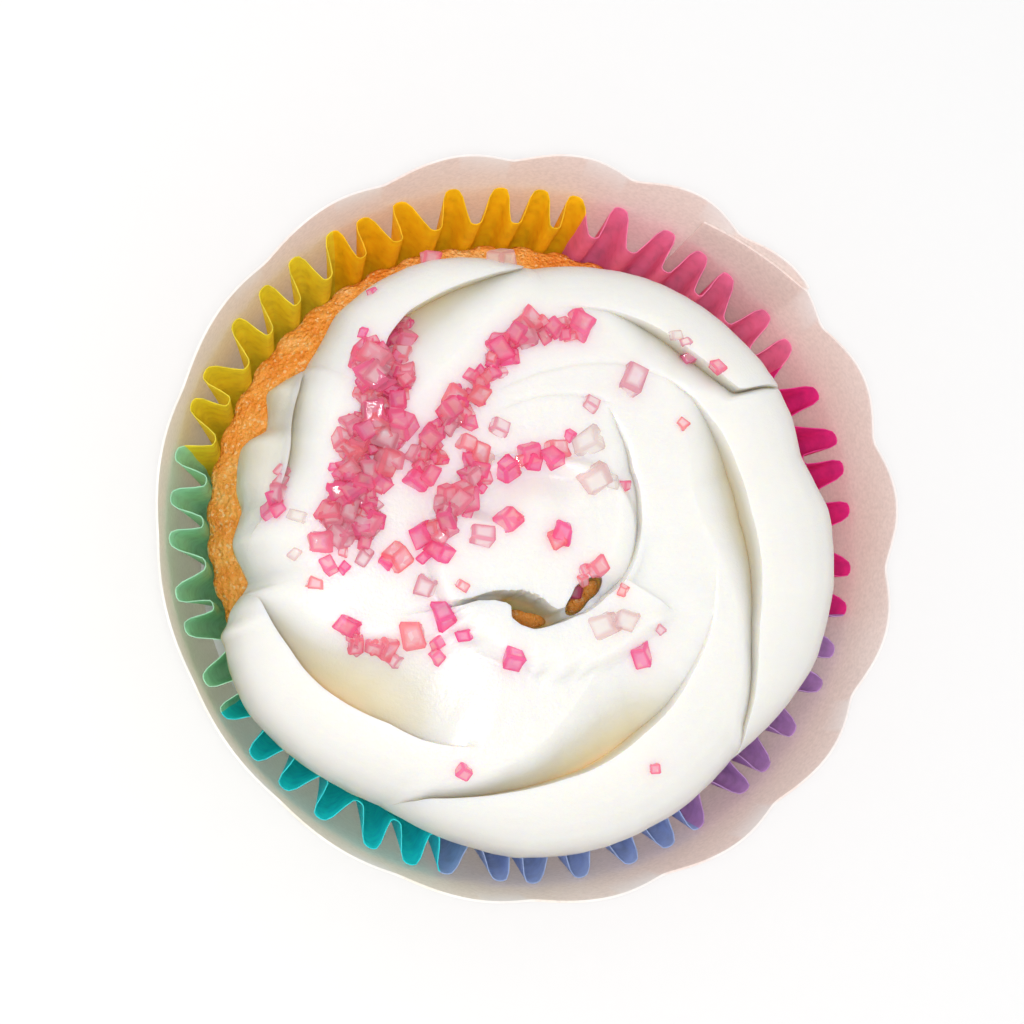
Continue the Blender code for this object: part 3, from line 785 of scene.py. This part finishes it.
def makeSwirl():
    sectors, firsts, lasts = [], [], []
    for newest, strand in enumerate(strands):
        start = strand["start"]
        stop = strand["outline"][-1][0]
        columns = round((stop - start) / swirl["columnTurn"])
        grid = [swirlColumn(newest, start + (stop - start) * i / columns) for i in range(columns + 1)]
        rows = len(grid[0]) - 1
        bpy.ops.mesh.primitive_grid_add(x_subdivisions=columns, y_subdivisions=rows, size=1)
        obj = bpy.context.object

        def place(co):
            return [v * mm for v in grid[round((co.x + 0.5) * columns)][round((co.y + 0.5) * rows)]]

        shapeVertices(obj, place)
        sectors.append(obj)
        firsts.append(grid[0])
        lasts.append(grid[-1])
    sectors += [makeSeam(lasts[k - 1], firsts[k]) for k in range(len(strands))]
    selectOnly(*sectors)
    bpy.ops.object.join()
    cleanMesh(sectors[0])
    cutPits(sectors[0])
    markVertices(sectors[0], "depth", depthBelowCrown)
    return sectors[0]


# whipped buttercream: dense and satiny; light soaks into it, and its colour is painted by depth below
# the crown: painted shade on the flanks and a painted warm yellow glow in thin and deep places
def makeIcingMaterial():
    material, add = newMaterial("whippedButtercream")
    spot = add("ShaderNodeTexCoord").outputs["Object"]
    # grain of 0.4 mm, and patches of 8 mm
    fine = add("ShaderNodeTexNoise", {
        "Vector": spot, "Scale": 2800.0, "Detail": 3.0, "Roughness": 0.6})
    broad = add("ShaderNodeTexNoise", {"Vector": spot, "Scale": 120.0, "Detail": 3.0})
    ramp = add("ShaderNodeValToRGB", {"Fac": broad})
    pale = setStops(ramp, swirl["pale"])
    depth = add("ShaderNodeAttribute", attribute_name="depth").outputs["Fac"]
    share = add("ShaderNodeMapRange", {"Value": depth, "From Max": 12.0})
    paintedShadeAndGlowRamp = add("ShaderNodeValToRGB", {"Fac": share})
    paintedShadeAndGlow = setStops(paintedShadeAndGlowRamp, swirl["paintedShadeAndGlow"])
    # from 0.4 mm down, the pale cream gives way to the painted shade and glow
    deep = add("ShaderNodeMapRange", {"Value": depth, "From Min": 0.4, "From Max": 1.8})
    colour = add("ShaderNodeMix", {"Factor": deep, 6: pale, 7: paintedShadeAndGlow}, data_type="RGBA")
    bump = add("ShaderNodeBump", {"Height": fine, "Strength": 0.45, "Distance": 0.00012})
    # light goes further in where the icing is deep in a groove
    soak = add("ShaderNodeMapRange", {
        "Value": depth, "From Min": 2.0, "From Max": 7.0, "To Min": 0.003, "To Max": 0.012})
    cream = add("ShaderNodeBsdfPrincipled", {
        "Base Color": colour.outputs[2], "Roughness": 0.34, "IOR": 1.46, "Normal": bump,
        "Subsurface Weight": 0.85, "Subsurface Scale": soak, "Subsurface Radius": (1.0, 0.8, 0.45)})
    return finishMaterial(material, cream)


icingSwirl = finishPiece(makeSwirl(), "icingSwirl", makeIcingMaterial(), "icing")


# coarse sugar: irregular little blocks, half sunk in the icing. Places are from the swirl's centre. A
# streak is its line, its width and how many crystals lie along it.
sugar = {
    "size": 1.5, "spread": 0.34, "smallest": 0.8, "largest": 2.3, "sink": 0.36, "seed": 5,
    "bevel": 0.11, "inset": 0.16, "dent": 0.5, "dentSize": 1.9, "tilt": 0.35,
    "length": (0.8, 1.25), "width": (0.75, 1.0), "thickness": (0.6, 0.9),
    "inStreak": 0.9, "clearLarger": 1.15, "piledUp": 0.6, "piledWidth": 1.5, "aboveIcing": 0.2,
    "streaks": (
        (((-13.6, 20.6), (-16.3, 18.2)), 1.4, 9),
        (((-16.6, 16.5), (-16.8, 11.5), (-18.6, 7.5), (-19.8, 3.0), (-19.6, -0.5)), 4.6, 170),
        (((-13.6, 6.2), (-11.5, 9.0), (-9.6, 12.0), (-7.8, 14.2)), 2.6, 46),
        (((-7.0, 15.6), (-5.2, 17.6), (-3.4, 20.0), (0.6, 20.6), (2.2, 21.4)), 1.8, 34),
        (((-12.6, -1.6), (-11.0, 2.0), (-9.0, 5.0), (-6.8, 7.3)), 2.6, 32),
        (((-5.2, 6.6), (-2.6, 7.4), (-0.2, 8.4)), 1.2, 8),
        (((-25.8, 6.4), (-26.2, 3.8), (-26.5, 1.6)), 0.9, 6),
        (((-20.6, -7.6), (-19.6, -10.2), (-17.2, -10.6), (-15.2, -11.2)), 1.2, 10),
        (((3.4, -2.4), (2.0, -4.4), (4.0, -4.9)), 0.9, 5),
    ),
    "singles": ((-22.6, -0.9), (-23.0, -4.7), (-21.7, -3.1), (-20.4, -3.3), (-16.4, -2.6),
        (-15.4, -2.2), (-13.7, -9.5), (-11.6, -10.2), (-11.5, -11.2), (-9.0, -9.4), (-10.9, -7.4),
        (-12.6, -4.9), (-9.4, -4.7), (-8.8, 2.2), (-7.5, -0.2), (-4.9, 1.5), (-4.2, 1.9), (-0.1, -0.2),
        (0.2, 0.5), (1.3, 9.9), (6.6, 5.2), (7.4, 15.6), (3.3, 13.0), (12.5, 11.4), (13.0, 19.6),
        (14.0, 18.4), (16.2, 17.2), (10.1, -8.6), (8.2, -11.0), (-4.3, -11.3), (-8.8, -22.0),
        (9.7, -21.6), (-18.2, 19.5), (-16.9, 24.1), (-11.2, 28.6), (-10.8, 28.0), (4.9, 29.0),
        (5.5, 28.4), (-8.7, 8.9), (-5.6, 10.5), (-7.4, 4.6), (6.2, -4.9)),
    "clear": ((-24.6, 1.6), (-24.9, -1.9), (-6.8, 7.3), (3.2, 9.2), (4.4, -8.2), (6.5, -7.8),
        (3.5, 5.7), (5.2, 5.4), (12.0, 20.2), (-4.0, 27.8)),
    "pinks": ((0.0, "ffbade"), (0.3, "ffcee4"), (0.5, "ffdcde"), (0.7, "ffe8f0"), (0.9, "fffafc")),
    "paintedPinkEdgeShade": ((0.0, "ff88c0"), (0.35, "ffa2c8"), (0.6, "ffb0b8"), (0.8, "fcb8ce"), (1.0, "f0c0cc")),
    "clears": ((0.0, "ffffff"), (1.0, "fdfbfa")), "paintedClearEdgeShade": ((0.0, "f2eeec"), (1.0, "f8e0e2")),
    "pinkClarity": 0.52, "clearClarity": 0.65,
}


# a cube with worn edges and dished faces
def makeSugarBlock(name):
    bpy.ops.mesh.primitive_cube_add(size=1)
    obj = bpy.context.object
    obj.name = name
    bpy.ops.object.mode_set(mode="EDIT")
    bpy.ops.mesh.select_all(action="SELECT")
    bpy.ops.mesh.bevel(offset=sugar["bevel"], segments=1, affect="EDGES")
    bm = bmesh.from_edit_mesh(obj.data)
    for face in bm.faces:
        face.select = max(abs(v) for v in face.normal) > 0.95
    bmesh.update_edit_mesh(obj.data)
    bpy.ops.mesh.inset(thickness=sugar["inset"], depth=-0.02, use_individual=True)
    bpy.ops.object.mode_set(mode="OBJECT")
    return obj


# a tree of the surfaces that sugar can land on
def landingTree(pieces):
    corners, faces = [], []
    for obj in pieces:
        start = len(corners)
        corners += [vertex.co[:] for vertex in obj.data.vertices]
        faces += [[start + i for i in face.vertices] for face in obj.data.polygons]
    return BVHTree.FromPolygons(corners, faces)


def pointAlong(path, share):
    lengths = [math.dist(a, b) for a, b in zip(path, path[1:])]
    run = share * sum(lengths)
    for (a, b), length in zip(zip(path, path[1:]), lengths):
        if run <= length:
            return [a[i] + (b[i] - a[i]) * run / length for i in (0, 1)]
        run -= length
    return list(path[-1])


# drops a crystal on the ground at each place (x, y, how much bigger, how far it is lifted on others)
def scatterSugar(name, places, ground, draw, material):
    block = makeSugarBlock(name + "Block")
    template = [vertex.co.copy() for vertex in block.data.vertices]
    faces = [list(face.vertices) for face in block.data.polygons]
    flats = [max(abs(v) for v in co) > 0.44 and sorted(abs(v) for v in co)[1] < 0.28 for co in template]
    corners, polygons, edgeShadeMask, tints = [], [], [], []
    cx, cy = swirl["centre"]
    for x, y, bigger, lift in places:
        size = sugar["size"] * bigger * math.exp(draw.gauss(0, sugar["spread"]))
        size = min(max(size, sugar["smallest"]), sugar["largest"])
        stretch = [size * draw.uniform(*sugar[side]) for side in ("length", "width", "thickness")]
        spin = Matrix.Rotation(draw.uniform(0, math.tau), 3, "Z")
        tilt = Matrix.Rotation(draw.gauss(0, sugar["tilt"]), 3, "X")
        tilt = tilt @ Matrix.Rotation(draw.gauss(0, sugar["tilt"]), 3, "Y")
        shift = Vector((draw.uniform(0, 90), draw.uniform(0, 90), 0))
        above = Vector(((cx + x) * mm, (cy + y) * mm, 0.08))
        hit, normal, _, _ = ground.ray_cast(above, Vector((0, 0, -1)))
        if hit is None:
            continue
        facing = normal.to_track_quat("Z", "Y").to_matrix() if normal.z > 0.3 else Matrix.Identity(3)
        turn = facing @ tilt @ spin
        stands = turn @ Vector((0, 0, (0.5 - sugar["sink"]) * stretch[2]))
        middle = hit / mm + stands + Vector((0, 0, lift))
        middle.z = min(middle.z, icingHigh[2] / mm + sugar["aboveIcing"])
        start = len(corners)
        for co in template:
            dent = 1 + sugar["dent"] * noise.noise(co * sugar["dentSize"] + shift)
            local = Vector([co[i] * stretch[i] * dent for i in range(3)])
            corners.append((middle + turn @ local) * mm)
        # edge vertices are marked for the painted edge shade
        edgeShadeMask += [0.0 if flat else 1.0 for flat in flats]
        tints += [draw.random()] * len(template)
        polygons += [[start + i for i in face] for face in faces]
    block.data.clear_geometry()
    block.data.from_pydata(corners, [], polygons)
    for label, values in (("rim", edgeShadeMask), ("tint", tints)):
        block.data.attributes.new(label, "FLOAT", "POINT").data.foreach_set("value", values)
    return finishPiece(block, name, material, smoothAngle=24)


# dyed coarse sugar: clear crystal tinted pink, with sharp small glints and worn corners; the worn edges
# are painted a deeper colour as painted shade
def makeSugarMaterial(name, colours, edgeShadeColours, clarity):
    material, add = newMaterial(name)
    spot = add("ShaderNodeTexCoord").outputs["Object"]
    tint = add("ShaderNodeAttribute", attribute_name="tint").outputs["Fac"]
    # painted light: facets of 0.8 mm on the far side are painted as paler and deeper patches in each
    # crystal, over each crystal's own random tint
    facets = add("ShaderNodeTexVoronoi", {"Vector": spot, "Scale": 1300.0})
    shades = add("ShaderNodeSeparateXYZ", {0: facets.outputs["Color"]})
    mixed = add("ShaderNodeMath", {
        0: shades.outputs["X"], 1: 0.55, 2: tint}, operation="MULTIPLY_ADD")
    shade = add("ShaderNodeMath", {0: mixed, 1: 0.2}, operation="SUBTRACT")
    ramp = add("ShaderNodeValToRGB", {"Fac": shade})
    colour = setStops(ramp, colours)
    # scratches of 0.6 mm
    fine = add("ShaderNodeTexNoise", {"Vector": spot, "Scale": 1800.0, "Detail": 2.0})
    bump = add("ShaderNodeBump", {"Height": fine, "Strength": 0.35, "Distance": 0.00012})
    # painted shade: the bevelled edges take the deeper edge colours
    rim = add("ShaderNodeAttribute", attribute_name="rim").outputs["Fac"]
    edgeShadeRamp = add("ShaderNodeValToRGB", {"Fac": tint})
    edgeShaded = add("ShaderNodeMix", {
        "Factor": rim, 6: colour, 7: setStops(edgeShadeRamp, edgeShadeColours)}, data_type="RGBA").outputs[2]
    crystal = add("ShaderNodeBsdfPrincipled", {
        "Base Color": edgeShaded, "Roughness": 0.06, "IOR": 1.5, "Normal": bump})
    glow = add("ShaderNodeBsdfTranslucent", {"Color": edgeShaded})
    lit = add("ShaderNodeMixShader", {"Fac": 0.5, 1: crystal, 2: glow})
    clear = add("ShaderNodeBsdfTransparent", {"Color": edgeShaded})
    mix = add("ShaderNodeMixShader", {"Fac": clarity, 1: lit, 2: clear})
    return finishMaterial(material, mix)


def makeSugar():
    draw = random.Random(sugar["seed"])
    ground = landingTree([icingSwirl, spongeCake])
    pink = []
    for path, width, count in sugar["streaks"]:
        for i in range(count):
            x, y = pointAlong(path, (i + draw.uniform(0.1, 0.9)) / count)
            side = [draw.uniform(-0.5, 0.5) * width for _ in range(2)]
            lift = sugar["piledUp"] * draw.random() ** 2 if width > sugar["piledWidth"] else 0.0
            pink.append((x + side[0], y + side[1], sugar["inStreak"], lift))
    pink += [(x, y, 1.0, 0.0) for x, y in sugar["singles"]]
    clear = [(x, y, sugar["clearLarger"], 0.0) for x, y in sugar["clear"]]
    pinkMaterial = makeSugarMaterial(
        "pinkCoarseSugar", sugar["pinks"], sugar["paintedPinkEdgeShade"], sugar["pinkClarity"])
    clearMaterial = makeSugarMaterial(
        "clearCoarseSugar", sugar["clears"], sugar["paintedClearEdgeShade"], sugar["clearClarity"])
    scatterSugar("pinkSugar", pink, ground, draw, pinkMaterial)
    scatterSugar("clearSugar", clear, ground, draw, clearMaterial)


makeSugar()


# places here are in metres
studio = {
    "camera": (-0.06546, -0.03573, 0.32359), "target": (-0.00041, 0.00183, 0.03314),
    "up": (-0.02736, 0.99213, 0.12216), "lens": 106.05, "sensor": 36, "clipStart": 0.01,
    "flash": (-0.098, -0.056, 0.47), "flashTarget": (0, 0, 0.04), "flashSize": 0.06, "flashPower": 1.12,
    "surround": 0.80, "floorSize": 4, "floorBelow": 0.0001, "floor": "e9e9e9",
}


def makeCamera():
    bpy.ops.object.camera_add(location=studio["camera"])
    camera = bpy.context.object
    back = (Vector(studio["camera"]) - Vector(studio["target"])).normalized()
    right = Vector(studio["up"]).cross(back).normalized()
    camera.rotation_euler = Matrix((right, back.cross(right), back)).transposed().to_euler()
    camera.data.lens = studio["lens"]
    camera.data.sensor_width = studio["sensor"]
    camera.data.clip_start = studio["clipStart"]
    bpy.context.scene.camera = camera


# a round flash beside the camera
def makeFlash():
    bpy.ops.object.light_add(type="AREA", location=studio["flash"])
    light = bpy.context.object
    light.name = "flash"
    light.data.shape = "DISK"
    light.data.size = studio["flashSize"]
    light.data.energy = studio["flashPower"]
    back = Vector(studio["flash"]) - Vector(studio["flashTarget"])
    light.rotation_euler = back.to_track_quat("Z", "Y").to_euler()


# soft white light from all round
def makeSurround():
    world = bpy.data.worlds.new("studio")
    world.use_nodes = True
    background = world.node_tree.nodes["Background"]
    background.inputs["Color"].default_value = (1, 1, 1, 1)
    background.inputs["Strength"].default_value = studio["surround"]
    bpy.context.scene.world = world
    bpy.context.scene.view_settings.view_transform = "Standard"


# a matt painted table
def makeFloor():
    size, below = studio["floorSize"], studio["floorBelow"]
    bpy.ops.mesh.primitive_plane_add(size=size, location=(0, 0, -below))
    floor = bpy.context.object
    floor.name = "floor"
    material, add = newMaterial("paleTable")
    shader = add("ShaderNodeBsdfPrincipled", {
        "Base Color": linearColour(studio["floor"]), "Roughness": 0.9})
    floor.data.materials.append(finishMaterial(material, shader))
    return floor


makeCamera()
makeFlash()
makeSurround()
floor = makeFloor()
print("camera, lights and floor made")
